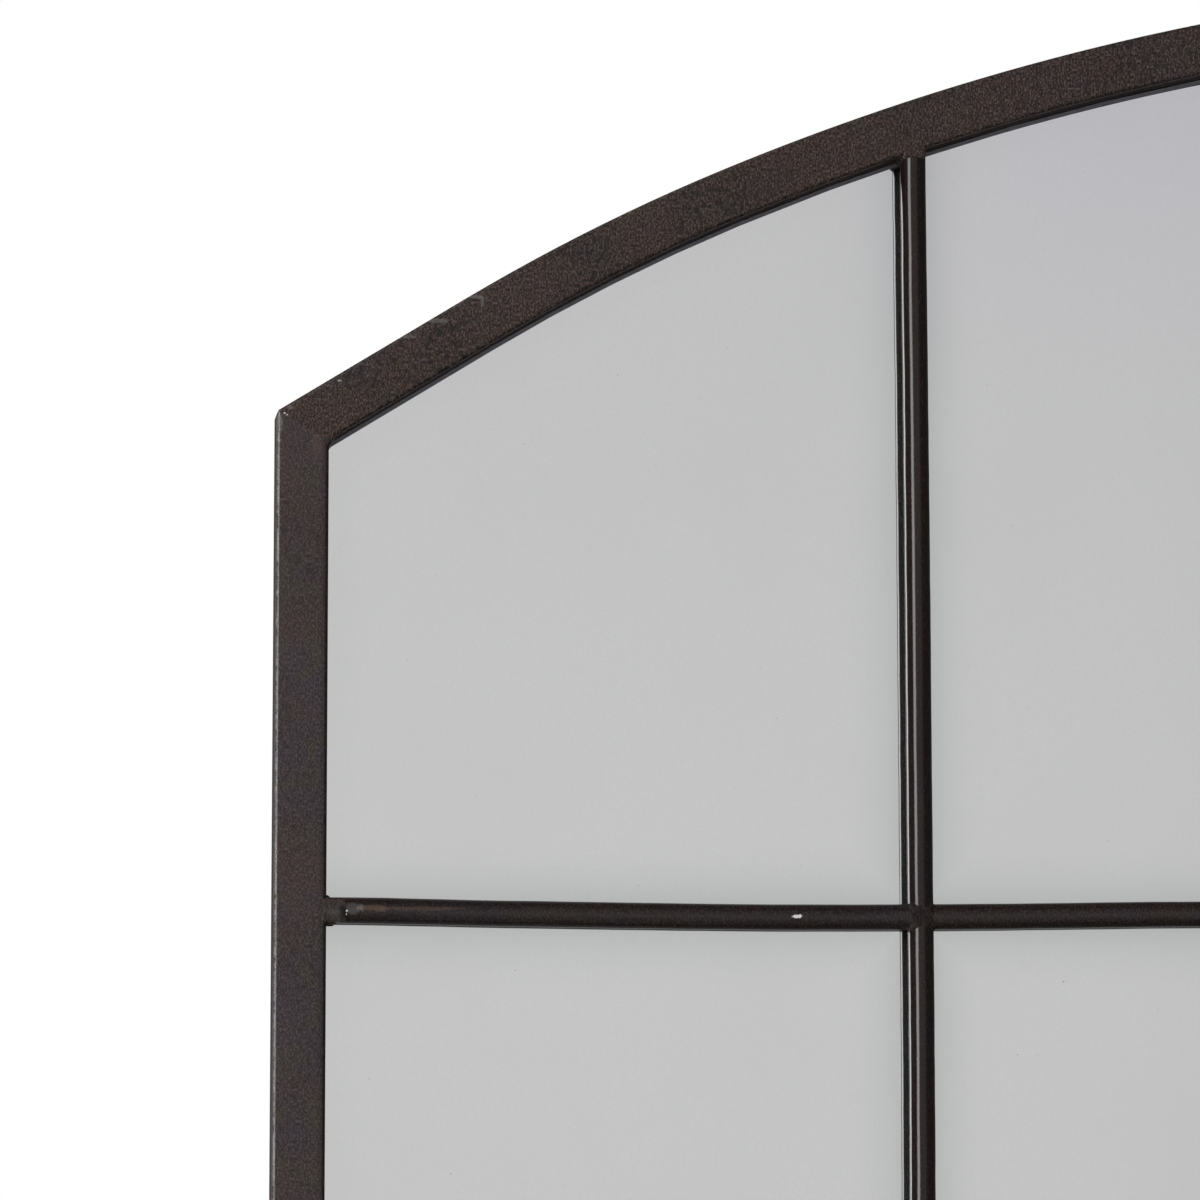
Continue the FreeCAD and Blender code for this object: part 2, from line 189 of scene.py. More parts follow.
# %% [markdown]
# ## The dark antiqued paint
# The steel has a brown-black paint with a fine sandy grain. Seen close it is mottled:
# patches lean to brown, to plum or to green-black, with tiny light and dark specks. It
# could be one flat dark colour, but then the frame would look like plastic. Here noises
# from a few centimetres down to under a millimetre are laid over each other, and the
# finest ones drive the bump too. A noise's scale says how many of its spots fit in a
# metre, because the coordinates are in metres.


# %% Small helpers for node trees
def new_material(name):
    """A new material with its node tree and its main shader."""
    material = bpy.data.materials.new(name)
    material.use_nodes = True
    tree = material.node_tree
    shader = tree.nodes["Principled BSDF"]
    return material, tree, shader


def node(tree, kind, **settings):
    """A new shader node with some of its settings."""
    made = tree.nodes.new("ShaderNode" + kind)
    for key, value in settings.items():
        setattr(made, key, value)
    return made


def object_coordinates(tree):
    """The place on the piece, in metres."""
    return node(tree, "TexCoord").outputs["Object"]


def split(tree, where):
    """The X, Y and Z outputs of a coordinate."""
    made = node(tree, "SeparateXYZ")
    tree.links.new(where, made.inputs["Vector"])
    return made.outputs


def drawn_out(tree, where, height_share):
    """Coordinates that draw a noise's spots out in height: a half doubles it."""
    made = node(tree, "Mapping")
    made.inputs["Scale"].default_value = (1.0, 1.0, height_share)
    tree.links.new(where, made.inputs["Vector"])
    return made.outputs["Vector"]


def noise(tree, where, scale, detail, roughness=0.5):
    """A cloudy value between 0 and 1, mostly near 0.5."""
    made = node(tree, "TexNoise")
    made.inputs["Scale"].default_value = scale
    made.inputs["Detail"].default_value = detail
    made.inputs["Roughness"].default_value = roughness
    tree.links.new(where, made.inputs["Vector"])
    return made.outputs["Fac"]


def stretch(tree, value, low, high, to_low=0.0, to_high=1.0):
    """Map a value between two limits, held at the ends."""
    made = node(tree, "MapRange")
    made.inputs["From Min"].default_value = low
    made.inputs["From Max"].default_value = high
    made.inputs["To Min"].default_value = to_low
    made.inputs["To Max"].default_value = to_high
    tree.links.new(value, made.inputs["Value"])
    return made.outputs["Result"]


def math_node(tree, operation, first, second=None):
    """One step of arithmetic on outputs or numbers."""
    made = node(tree, "Math", operation=operation)
    for socket, value in zip(made.inputs, (first, second)):
        if value is None:
            continue
        if isinstance(value, (int, float)):
            socket.default_value = value
        else:
            tree.links.new(value, socket)
    return made.outputs["Value"]


def blend_colours(tree, amount, first, second):
    """The first colour where the amount is 0 and the second where it is 1."""
    made = node(tree, "Mix", data_type="RGBA")
    tree.links.new(amount, made.inputs["Factor"])
    for socket, colour in ((made.inputs["A"], first), (made.inputs["B"], second)):
        if isinstance(colour, tuple):
            socket.default_value = (*colour, 1)
        else:
            tree.links.new(colour, socket)
    return made.outputs["Result"]


def bump(tree, shader, height, strength, distance):
    """Let a height tilt the surface's shading, by a depth in metres."""
    made = node(tree, "Bump")
    made.inputs["Strength"].default_value = strength
    made.inputs["Distance"].default_value = distance
    tree.links.new(height, made.inputs["Height"])
    tree.links.new(made.outputs["Normal"], shader.inputs["Normal"])


# %% Marks of wear and painted shade: a ragged mask round a point
SPOT_START, SPOT_END = 1.25, 0.85


def near(tree, where, centre, reach, ragged):
    """1 at a point, falling to 0 about its reach, with a ragged edge from a noise."""
    away = node(tree, "VectorMath", operation="SUBTRACT")
    away.inputs[1].default_value = centre
    tree.links.new(where, away.inputs[0])
    shrink = node(tree, "VectorMath", operation="DIVIDE")
    shrink.inputs[1].default_value = reach
    tree.links.new(away.outputs["Vector"], shrink.inputs[0])
    length = node(tree, "VectorMath", operation="LENGTH")
    tree.links.new(shrink.outputs["Vector"], length.inputs[0])
    distance = math_node(tree, "ADD", length.outputs["Value"], ragged)
    return stretch(tree, distance, SPOT_START, SPOT_END)


# %% Colours of the paint and of what shows through it
PAINT_BROWN = (0.036, 0.0225, 0.0200)
PAINT_PLUM = (0.032, 0.0220, 0.0280)
PAINT_OLIVE = (0.033, 0.0280, 0.0185)
PAINT_DARK = (0.006, 0.004, 0.004)
PAINT_LIGHT = (0.078, 0.068, 0.064)
BARE_STEEL = (0.50, 0.48, 0.47)
RUBBED_GREY = (0.115, 0.108, 0.104)
# Light grey of the worn line on the stiles' outer rounding, which is partly a painted highlight.
WORN_EDGE_AND_HIGHLIGHT = (0.22, 0.215, 0.21)
RUBBED_BROWN = (0.120, 0.075, 0.052)


# %% [markdown]
# ## Wear and painted shade on the paint
# A real frame is knocked and rubbed: bare steel shows in a few chips, edges are rubbed
# grey, and dirt sits beside a weld. Two dark marks are painted shade, in a pit beside a
# weld and in the pocket where an upright meets the arch. Wear could be painted on an
# image, but this object has no images. Each mark is one soft ellipsoid with a ragged edge.

# %% Each mark: its colour, its middle, its reach each way in metres, and its strength
MARKS = (
    (RUBBED_GREY, (-0.5990, FRONT, 1.4052), (0.0009, 0.006, 0.0036), 0.55),
    (BARE_STEEL, (-0.5969, FRONT, 1.4090), (0.00045, 0.004, 0.00035), 0.7),
    (BARE_STEEL, (-0.5961, FRONT, 1.4084), (0.00035, 0.004, 0.00035), 0.6),
    (RUBBED_GREY, (-0.5948, FRONT, 1.4112), (0.0009, 0.004, 0.0008), 0.45),
    (RUBBED_BROWN, (-0.5848, FRONT, 1.3970), (0.0020, 0.004, 0.0050), 0.14),
    (RUBBED_GREY, (-0.5500, FRONT, 1.4395), (0.0040, 0.004, 0.0006), 0.4),
    (RUBBED_GREY, (-0.5395, FRONT, 1.4460), (0.0060, 0.004, 0.0007), 0.4),
    (RUBBED_GREY, (-0.5238, FRONT, 1.4555), (0.0030, 0.004, 0.0006), 0.5),
    (RUBBED_GREY, (-0.5213, FRONT, 1.4538), (0.0006, 0.004, 0.0018), 0.4),
    (BARE_STEEL, (-0.5760, FRONT, 1.4220), (0.0008, 0.004, 0.0003), 0.35),
    (BARE_STEEL, (-0.4001, FRONT, 1.2179), (0.0016, 0.003, 0.0006), 1.0),
    (RUBBED_BROWN, (-0.5615, FRONT, 1.2204), (0.0060, 0.003, 0.0010), 0.30),
    (RUBBED_BROWN, (-0.5440, FRONT, 1.2203), (0.0140, 0.003, 0.0007), 0.20),
    (RUBBED_GREY, (-0.5698, FRONT, 1.2203), (0.0036, 0.003, 0.0017), 0.26),
    # A faint light spot of bare steel, which is also a painted highlight on the rubbed patch.
    (BARE_STEEL, (-0.5677, FRONT, 1.2204), (0.0010, 0.003, 0.0007), 0.08),
    (RUBBED_GREY, (-0.5760, FRONT, 1.2190), (0.0040, 0.004, 0.0016), 0.14),
    # Painted shade: a dark spot that stands in for a small pit in the weld.
    (PAINT_DARK, (-0.5735, FRONT, 1.2186), (0.0015, 0.005, 0.0022), 1.0),
    (BARE_STEEL, (-0.5723, FRONT, 1.2194), (0.0004, 0.003, 0.0004), 0.8),
    (BARE_STEEL, (-0.5725, FRONT, 1.2180), (0.0003, 0.003, 0.0004), 0.7),
    (RUBBED_GREY, (-0.5760, FRONT, 1.2148), (0.0008, 0.004, 0.0005), 0.6),
    # Painted shadow in the pocket where the upright meets the arch's inner wall.
    (PAINT_DARK, (-0.3575, -0.003, 1.5060), (0.0035, 0.007, 0.0035), 1.0),
)


# %% The mottle: patches, tints, specks and grain
def toned(colour, tone):
    """A paint colour with each channel weighed by a tone."""
    return tuple(channel * weight for channel, weight in zip(colour, tone))


def mottle(tree, where, grain, blots, specks, tone, contrast):
    """Colour of the paint before it is worn. Contrast makes all its specks stronger."""
    patches = noise(tree, where, 42.0, 3.0, 0.6)
    tint = noise(tree, where, 95.0, 2.0)
    clusters = noise(tree, where, 24.0, 2.0, 0.5)
    colour = blend_colours(
        tree, stretch(tree, patches, 0.42, 0.58), toned(PAINT_BROWN, tone),
        toned(PAINT_PLUM, tone))
    colour = blend_colours(
        tree, stretch(tree, tint, 0.52, 0.62, 0.0, 0.8), colour, toned(PAINT_OLIVE, tone))
    colour = blend_colours(
        tree, stretch(tree, blots, 0.46, 0.34, 0.0, 0.55 * contrast), colour, PAINT_DARK)
    colour = blend_colours(
        tree, stretch(tree, grain, 0.49, 0.37, 0.0, 0.80 * contrast), colour, PAINT_DARK)
    colour = blend_colours(
        tree, stretch(tree, grain, 0.51, 0.65, 0.0, 0.75 * contrast), colour,
        toned(PAINT_LIGHT, tone))
    crowded = math_node(
        tree, "MULTIPLY", stretch(tree, specks, 0.48, 0.40),
        stretch(tree, clusters, 0.44, 0.60, 0.0, 0.60 * contrast))
    return blend_colours(tree, crowded, colour, PAINT_DARK)


# %% Dark runs on the arch
RUN_SCALE = 1250.0
RUN_DRAW = 0.30


def dark_runs(tree, where, _blots, colour):
    """Short upright runs of dark specks, which grow stronger towards the crown."""
    runs = noise(tree, drawn_out(tree, where, RUN_DRAW), RUN_SCALE, 1.0, 0.5)
    from_middle = math_node(tree, "ABSOLUTE", split(tree, where)["X"])
    share = stretch(tree, from_middle, 0.45, 0.18, 0.25, 0.95)
    return blend_colours(
        tree, math_node(tree, "MULTIPLY", stretch(tree, runs, 0.44, 0.37), share),
        colour, PAINT_DARK)


# %% Edges of the stiles
def band(tree, distance, starts, ends):
    """1 between two soft edges of a distance. Each edge is a pair, from 0 to 1."""
    return math_node(
        tree, "MULTIPLY", stretch(tree, distance, *starts), stretch(tree, distance, *ends))


def stile_edges(tree, where, blots, colour):
    """Painted shade along the stiles' inner edge, and a light worn line on their outer
    rounding that is partly a painted highlight.
    """
    place = split(tree, where)
    from_edge = math_node(
        tree, "SUBTRACT", HALF_WIDTH, math_node(tree, "ABSOLUTE", place["X"]))
    # Painted shade: a dark band along the inner edge of each stile.
    painted_shade = band(tree, from_edge, (0.0166, 0.0195), (0.0210, 0.0202))
    colour = blend_colours(
        tree, math_node(tree, "MULTIPLY", painted_shade, 0.75), colour, PAINT_DARK)
    # A worn light line on the outer rounding, which is also a painted highlight.
    line = band(tree, from_edge, (0.0012, 0.0008), (0.0002, 0.0005))
    front_only = stretch(tree, place["Y"], FRONT + 0.0030, FRONT + 0.0020)
    line = math_node(tree, "MULTIPLY", line, front_only)
    rubbed_and_highlight = math_node(tree, "MULTIPLY", line, stretch(tree, blots, 0.38, 0.60, 0.15, 0.95))
    return blend_colours(tree, rubbed_and_highlight, colour, WORN_EDGE_AND_HIGHLIGHT)


# %% The whole paint
GRAIN_DRAW = 0.62
# Side walls of the tubes: painted shade darkens them, and they are duller and less shiny.
SIDE_START, SIDE_END = FRONT + 0.0012, FRONT + 0.0032
SIDE_SHADE = 0.45
SIDE_DULL = 0.35
SIDE_SHEEN = 0.22
PAINT_IOR = 1.4


def antiqued_paint(
        name, tone, contrast, rough, grain_depth, shaded_sides=False, sheen=0.5, coat=None):
    """Mottled paint with the marks above. On tubes the side walls get painted shade, a darker
    colour, and they are duller. A coat is one more layer, laid on before the marks."""
    material, tree, shader = new_material(name)
    where = object_coordinates(tree)
    where_grain = drawn_out(tree, where, GRAIN_DRAW)
    grain = noise(tree, where_grain, 1500.0, 2.0, 0.5)
    blots = noise(tree, where_grain, 560.0, 4.0, 0.7)
    specks = noise(tree, where_grain, 620.0, 2.0, 0.6)
    colour = mottle(tree, where, grain, blots, specks, tone, contrast)
    side_wall = stretch(tree, split(tree, where)["Y"], SIDE_START, SIDE_END)
    # Painted shade on the side walls.
    if shaded_sides:
        colour = blend_colours(
            tree, math_node(tree, "MULTIPLY", side_wall, SIDE_SHADE), colour, PAINT_DARK)
    if coat is not None:
        colour = coat(tree, where, blots, colour)
    ragged = stretch(tree, blots, 0.35, 0.65, -0.45, 0.45)
    for mark_colour, centre, reach, strength in MARKS:
        mask = near(tree, where, centre, reach, ragged)
        colour = blend_colours(
            tree, math_node(tree, "MULTIPLY", mask, strength), colour, mark_colour)
    tree.links.new(colour, shader.inputs["Base Color"])
    roughness = stretch(tree, grain, 0.35, 0.65, rough + 0.10, rough - 0.04)
    if shaded_sides:
        roughness = math_node(
            tree, "ADD", roughness, math_node(tree, "MULTIPLY", side_wall, SIDE_DULL))
        tree.links.new(
            stretch(tree, side_wall, 0.0, 1.0, sheen, SIDE_SHEEN),
            shader.inputs["Specular IOR Level"])
    tree.links.new(roughness, shader.inputs["Roughness"])
    shader.inputs["IOR"].default_value = PAINT_IOR
    height = math_node(tree, "ADD", grain, math_node(tree, "MULTIPLY", blots, 0.8))
    bump(tree, shader, height, 0.6, grain_depth)
    return material


# %% [markdown]
# ## One paint for each kind of steel
# The tubes, the bars and the welds had the same paint, but it took differently: it is
# coarse and brown on the rolled arch, thin and glossy on the drawn bars, and dull on the
# welds. So one function mixes it, and each kind of steel has its own tone, contrast,
# roughness and depth of grain.

# %% The six paints
frame_paint = antiqued_paint(
    "aged_frame_paint", tone=(0.87, 0.84, 0.86), contrast=0.75, rough=0.26,
    grain_depth=0.00008, shaded_sides=True, coat=stile_edges)
ground_paint = antiqued_paint(
    "aged_ground_paint", tone=(0.72, 0.70, 0.71), contrast=0.75, rough=0.34,
    grain_depth=0.00008, shaded_sides=True, sheen=0.35)
arch_paint = antiqued_paint(
    "aged_arch_paint", tone=(0.80, 0.66, 0.58), contrast=1.5, rough=0.34,
    grain_depth=0.00010, shaded_sides=True, coat=dark_runs)
bar_paint = antiqued_paint(
    "aged_bar_paint", tone=(0.37, 0.35, 0.34), contrast=0.8, rough=0.10,
    grain_depth=0.000018)
# The uprights get a darker copy of the bar paint; its extra darkness is painted shade.
shaded_upright_paint = antiqued_paint(
    "aged_and_shaded_upright_paint", tone=(0.24, 0.19, 0.18), contrast=0.8, rough=0.08,
    grain_depth=0.000028)
weld_paint = antiqued_paint(
    "aged_weld_paint", tone=(0.30, 0.25, 0.24), contrast=1.3, rough=0.50,
    grain_depth=0.00010, shaded_sides=True, sheen=0.22)
for paint in (frame_paint, ground_paint, arch_paint, bar_paint, shaded_upright_paint, weld_paint):
    print(paint.name, "has", len(paint.node_tree.nodes), "nodes and", len(MARKS), "marks")

# %% [markdown]
# ## Square tube of the frame
# A straight length of tube is a cube drawn out to its size, with its four long edges
# rounded by a bevel. Its ends are cut on the mitre with the bisect tool, which also
# closes the cut. The hollow inside never shows, so only the outer skin is made.


# %% Straight tubes
TUBE_CORNER = 0.0016
CORNER_STEPS = 6


def cut_away(piece, through, normal):
    """Cut a piece by a plane and keep the side that the normal points away from."""
    enter(piece)
    bpy.ops.mesh.select_all(action="SELECT")
    bpy.ops.mesh.bisect(
        plane_co=through, plane_no=normal, use_fill=True, clear_outer=True)
    leave()


def straight_tube(low, high, axis):
    """Tube between two corners of its box, with round edges along an axis."""
    middle = (low + high) / 2
    bpy.ops.mesh.primitive_cube_add(size=1, location=middle)
    piece = bpy.context.object
    piece.scale = high - low
    apply_place(piece)
    enter(piece)
    pick(piece, "EDGE", lambda edge: edge_runs_along(edge, axis))
    bpy.ops.mesh.bevel(offset=TUBE_CORNER, segments=CORNER_STEPS, affect="EDGES")
    leave()
    return piece


# %% Mitres, and the tips ground off the two upper corners
def mitre_normal(outer, inner, inside):
    """Normal of the mitre through two corners, pointing away from the inside."""
    along = (inner - outer).normalized()
    normal = Vector((-along.z, 0, along.x))
    return -normal if (inside - outer).dot(normal) > 0 else normal


CLIPPED = 0.0005


def clip_outer_corner(piece, side):
    """Take the sharp tip off an upper corner of the frame, as grinding does."""
    tip = on_side(OUTER_CORNER, side)
    outwards = (tip - on_side(INNER_CORNER, side)).normalized()
    cut_away(piece, tip - outwards * CLIPPED, outwards)


# %% Stiles and bottom rail. Each runs on past its mitres before they are cut.
RUN_ON = 2 * TUBE
FOOT_OUTER = Vector((-HALF_WIDTH, 0, 0))
FOOT_INNER = Vector((-HALF_OPENING, 0, TUBE))


def make_stile(side):
    """Left stile for side -1, right stile for side 1."""
    edges = sorted((side * HALF_WIDTH, side * HALF_OPENING))
    piece = straight_tube(
        Vector((edges[0], FRONT, -RUN_ON)), Vector((edges[1], BACK, CORNER_Z + RUN_ON)),
        Z_AXIS)
    inside = Vector((side * HALF_WIDTH, 0, CORNER_Z / 2))
    for outer, inner in ((OUTER_CORNER, INNER_CORNER), (FOOT_OUTER, FOOT_INNER)):
        outer, inner = on_side(outer, side), on_side(inner, side)
        cut_away(piece, outer, mitre_normal(outer, inner, inside))
    clip_outer_corner(piece, side)
    settle(piece)
    return piece


for name, side in (("left_stile", -1), ("right_stile", 1)):
    dress(make_stile(side), name + "_tube", frame_paint, "frame_finish", name)

rail = straight_tube(
    Vector((-HALF_WIDTH - RUN_ON, FRONT, 0)), Vector((HALF_WIDTH + RUN_ON, BACK, TUBE)),
    X_AXIS)
for side in (-1, 1):
    outer, inner = on_side(FOOT_OUTER, side), on_side(FOOT_INNER, side)
    cut_away(rail, outer, mitre_normal(outer, inner, Vector((0, 0, TUBE / 2))))
settle(rail)
dress(rail, "bottom_rail_tube", frame_paint, "frame_finish", "bottom_rail")
print("straight tubes, mitred, with", len(rail.data.polygons), "faces on the rail")

# %% [markdown]
# ## The rolled arch
# The arch is one length of the same tube bent in rolls: straight at the ends, tighter
# over the shoulders and wider over the crown. A curve with a bevel could follow it, but
# the spin tool keeps the section square to the bend and shows how a roller works. The
# section is a square with round corners, drawn at the left end and spun round each bend.

# %% The section of the tube, square to its left end
section_angle = math.pi / 2 - END_SLOPE
section_place = (
    OUTER_CORNER - ALONG_END * RUN_ON - outward(END_SLOPE) * (TUBE / 2)
    + Vector((0, (FRONT + BACK) / 2, 0)))
bpy.ops.mesh.primitive_plane_add(
    size=TUBE, location=section_place, rotation=(0, section_angle, 0))
arch = bpy.context.object
apply_place(arch)
enter(arch)
bpy.ops.mesh.select_all(action="SELECT")
bpy.ops.mesh.bevel(offset=TUBE_CORNER, segments=CORNER_STEPS, affect="VERTICES")
bpy.ops.mesh.select_all(action="SELECT")
bpy.ops.mesh.delete(type="ONLY_FACE")
leave()
print("section has", len(arch.data.vertices), "points")

# %% Through the rolls: straight, shoulder, crown, shoulder, straight
enter(arch)
bpy.ops.mesh.select_all(action="SELECT")
bpy.ops.mesh.extrude_edges_move(
    TRANSFORM_OT_translate={"value": ALONG_END * (RUN_ON + END_RUN)})
ROLL_STEP = 0.010
bends = (
    (SHOULDER_CENTRE, END_SLOPE - CROWN_ANGLE, SHOULDER_RADIUS),
    (CROWN_CENTRE, 2 * CROWN_ANGLE, CROWN_RADIUS),
    (mirrored(SHOULDER_CENTRE), END_SLOPE - CROWN_ANGLE, SHOULDER_RADIUS),
)
for centre, angle, radius in bends:
    bpy.ops.mesh.spin(
        steps=round(radius * angle / ROLL_STEP), angle=angle, center=centre, axis=(0, -1, 0))
leaving = mirrored(ALONG_END) * -1
bpy.ops.mesh.extrude_edges_move(
    TRANSFORM_OT_translate={"value": leaving * (RUN_ON + END_RUN)})
leave()

# %% Cutting the arch to length
top_inside = Vector((0, 0, CROWN_CENTRE.z + CROWN_RADIUS - TUBE / 2))
for side in (-1, 1):
    outer, inner = on_side(OUTER_CORNER, side), on_side(INNER_CORNER, side)
    cut_away(arch, outer, mitre_normal(outer, inner, top_inside))
for side in (-1, 1):
    clip_outer_corner(arch, side)
settle(arch)
dress(arch, "arch_tube", arch_paint, "frame_finish", "arch_rail")
arch_points = [v.co for v in arch.data.vertices]
print("arch top at %.2f mm, solid top at %.2f mm, from x %.1f to %.1f mm" % (
    max(p.z for p in arch_points) * 1e3, ARCH_TOP * 1e3,
    min(p.x for p in arch_points) * 1e3, max(p.x for p in arch_points) * 1e3))

# %% [markdown]
# ## Round bars
# The bars are cold drawn steel, so they are smooth, but the paint pools a little and the
# welds pull them slightly out of line. Each is a cylinder divided along its length, and
# two Displace modifiers move it: one makes the skin uneven by a tenth of a millimetre,
# the other lets the whole bar wander by under a millimetre.

# %% Noises that roughen the bars and bend them
SKIN_RIPPLE = 0.00022
CROSS_BAR_WANDER = 0.0022
UPRIGHT_WANDER = 0.0012


def cloud(name, size):
    """A cloudy texture with spots of about a size."""
    texture = bpy.data.textures.new(name, "CLOUDS")
    texture.noise_scale = size
    texture.noise_depth = 1
    return texture


skin_cloud = cloud("paint_pools", 0.012)
wander_cloud = cloud("bar_wander", 0.30)


def displace(piece, texture, strength, direction):
    """Move the mesh by half a strength either way, where a texture is dark or light."""
    modifier = piece.modifiers.new(texture.name, "DISPLACE")
    modifier.texture = texture
    modifier.texture_coords = "LOCAL"
    modifier.direction = direction
    modifier.mid_level = 0.5
    modifier.strength = strength
    only(piece)
    bpy.ops.object.modifier_apply(modifier=modifier.name)


# %% One bar
BAR_SIDES = 40
BAR_STEP = 0.006
TURN_TO = {X_AXIS: (0, math.pi / 2, 0), Z_AXIS: (0, 0, 0)}


def plain_rod(middle, length, axis, radius):
    """Cylinder along X or Z."""
    bpy.ops.mesh.primitive_cylinder_add(
        vertices=BAR_SIDES, radius=radius, depth=length, location=middle,
        rotation=TURN_TO[axis])
    return bpy.context.object


def round_bar(middle, length, axis):
    """Round bar, divided along its length and made slightly uneven."""
    piece = plain_rod(middle, length, axis, BAR_RADIUS)
    apply_place(piece)
    enter(piece)
    pick(piece, "EDGE", lambda edge: edge_runs_along(edge, axis))
    bpy.ops.mesh.subdivide(number_cuts=round(length / BAR_STEP))
    leave()
    displace(piece, skin_cloud, SKIN_RIPPLE, "NORMAL")
    return piece


# %% [markdown]
# ## The bow of the top bar
# The top cross bar is the one that the photograph shows. It was pulled out of line by its
# welds: it sags most at a third of the way to the middle and stands a little high beside
# the stile. A noise can't be steered, so this bar is bent with proportional editing,
# which moves one place and takes its neighbours along less and less.


# %% A nudge with proportional editing
RING_GRASP = 0.0035
TOP_BAR_BOW = ((-0.580, 0.0007, 0.07), (-0.400, -0.0014, 0.17), (-0.200, 0.0005, 0.12))


def nudge(piece, middle, shift, reach):
    """Move the rings of a bar nearest a point, and their neighbours less and less."""
    nearest = min((vertex.co - middle).length for vertex in piece.data.vertices)
    enter(piece)
    pick(piece, "VERT", lambda vertex: (vertex.co - middle).length < nearest + RING_GRASP)
    bpy.ops.transform.translate(
        value=shift, use_proportional_edit=True, proportional_edit_falloff="SMOOTH",
        proportional_size=reach)
    leave()


# %% Cross bars, in one piece from stile to stile
BURIED = 0.0012
cross_names = sorted(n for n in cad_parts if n.startswith("cross_bar_"))
cross_heights = []
for name in cross_names:
    low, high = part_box(name)
    height = (low.z + high.z) / 2
    cross_heights.append(height)
    bar = round_bar(Vector((0, BAR_Y, height)), 2 * (HALF_OPENING + BURIED), X_AXIS)
    if name == cross_names[-1]:
        for x, rise, reach in TOP_BAR_BOW:
            nudge(bar, Vector((x, BAR_Y, height)), (0, 0, rise), reach)
    else:
        displace(bar, wander_cloud, CROSS_BAR_WANDER, "Z")
    settle(bar)
    dress(bar, name + "_rod", bar_paint, "bar_finish", name)
print("cross bars at", [round(height, 4) for height in cross_heights])

# %% Uprights, cut between the cross bars
upright_names = sorted(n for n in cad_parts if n.startswith("upright_"))
upright_xs = set()
for name in upright_names:
    low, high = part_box(name)
    x = (low.x + high.x) / 2
    upright_xs.add(round(x, 5))
    piece = round_bar(Vector((x, BAR_Y, (low.z + high.z) / 2)), high.z - low.z, Z_AXIS)
    displace(piece, wander_cloud, UPRIGHT_WANDER, "X")
    settle(piece)
    dress(piece, name + "_rod", shaded_upright_paint, "bar_finish", name)
upright_xs = sorted(upright_xs)
print("uprights:", len(upright_names), "at x", upright_xs)

# %% [markdown]
# ## Welds
# On the real frame every joint is welded and then ground, so no sharp line is left where
# two bars meet. Booleans would give that sharp line. Here each weld is a few short
# lengths of bar and a pad of metal laid over the joint. They are joined, remeshed into
# one skin and smoothed, which fills the corners the way molten metal does.


# %% Melt loose parts into one skin
WELD_VOXEL = 0.0004
FLOW = 0.5
weld_cloud = cloud("weld_ripple", 0.004)


def melt(parts, name, rounds, ripple=0.00018):
    """Join parts, remesh them into one skin and smooth it in some rounds."""
    only(parts[0])
    for part in parts[1:]:
        part.select_set(True)
    if len(parts) > 1:
        bpy.ops.object.join()
    weld = bpy.context.object
    weld.name = name
    apply_place(weld)
    remesh = weld.modifiers.new("one_skin", "REMESH")
    remesh.mode = "VOXEL"
    remesh.voxel_size = WELD_VOXEL
    smooth = weld.modifiers.new("flow", "SMOOTH")
    smooth.factor = FLOW
    smooth.iterations = rounds
    for modifier in ("one_skin", "flow"):
        bpy.ops.object.modifier_apply(modifier=modifier)
    displace(weld, weld_cloud, ripple, "NORMAL")
    return weld


def pad(middle, size, turn, rounding):
    """Pad of weld metal: a block with rounded edges, turned about Y."""
    bpy.ops.mesh.primitive_cube_add(size=1, location=middle)
    block = bpy.context.object
    block.scale = size
    only(block)
    bpy.ops.object.transform_apply(location=False, rotation=False, scale=True)
    enter(block)
    bpy.ops.mesh.select_all(action="SELECT")
    bpy.ops.mesh.bevel(offset=rounding, segments=4, affect="EDGES")
    leave()
    block.rotation_euler = (0, turn, 0)
    return block


# %% A weld where two bars cross. Its stubs end just under the paint of the bars.
STUB_RADIUS = BAR_RADIUS - 0.00012
STUB_REACH = 0.0185


def crossing_weld():
    """Two short bars across each other, with one pad turned cornerwise and one square."""
    middle = (0, BAR_Y, 0)
    cornerwise, square = 0.0108, 0.0106
    parts = [
        plain_rod(middle, STUB_REACH, X_AXIS, STUB_RADIUS),
        plain_rod(middle, STUB_REACH, Z_AXIS, STUB_RADIUS),
        pad(middle, (cornerwise, 2 * BAR_RADIUS + 0.0001, cornerwise), math.pi / 4, 0.0022),
        pad(middle, (square, 2 * BAR_RADIUS - 0.0010, square), 0, 0.0016),
    ]
    return melt(parts, "crossing_weld", rounds=9, ripple=0.00020)


def copy_to(weld, place):
    """Copy a weld with its own mesh and put it in its place."""
    only(weld)
    bpy.ops.object.duplicate()
    made = bpy.context.object
    bpy.ops.transform.translate(value=place)
    apply_place(made)
    return made


# %% Where the bent bars really are
NEARBY = 2 * BAR_STEP


def bar_centre(name, x):
    """Height of a cross bar's middle at an x, as it was left by its bow."""
    bar_mesh = bpy.data.objects[name + "_rod"].data
    heights = [v.co.z for v in bar_mesh.vertices if abs(v.co.x - x) < BAR_STEP]
    return (min(heights) + max(heights)) / 2


def rod_middle(x, z):
    """Place across of an upright's middle at a height."""
    across = [
        vertex.co.x for name in upright_names
        for vertex in bpy.data.objects[name + "_rod"].data.vertices
        if abs(vertex.co.z - z) < NEARBY and abs(vertex.co.x - x) < NEARBY]
    return (min(across) + max(across)) / 2


strays = [abs(rod_middle(x, z) - x) for x in upright_xs for z in cross_heights]
print("uprights stray by up to %.2f mm at the cross bars" % (max(strays) * 1e3))
sags = [
    abs(bar_centre(name, x) - height)
    for name, height in zip(cross_names, cross_heights) for x in upright_xs]
print("cross bars stray by up to %.2f mm at the uprights" % (max(sags) * 1e3))

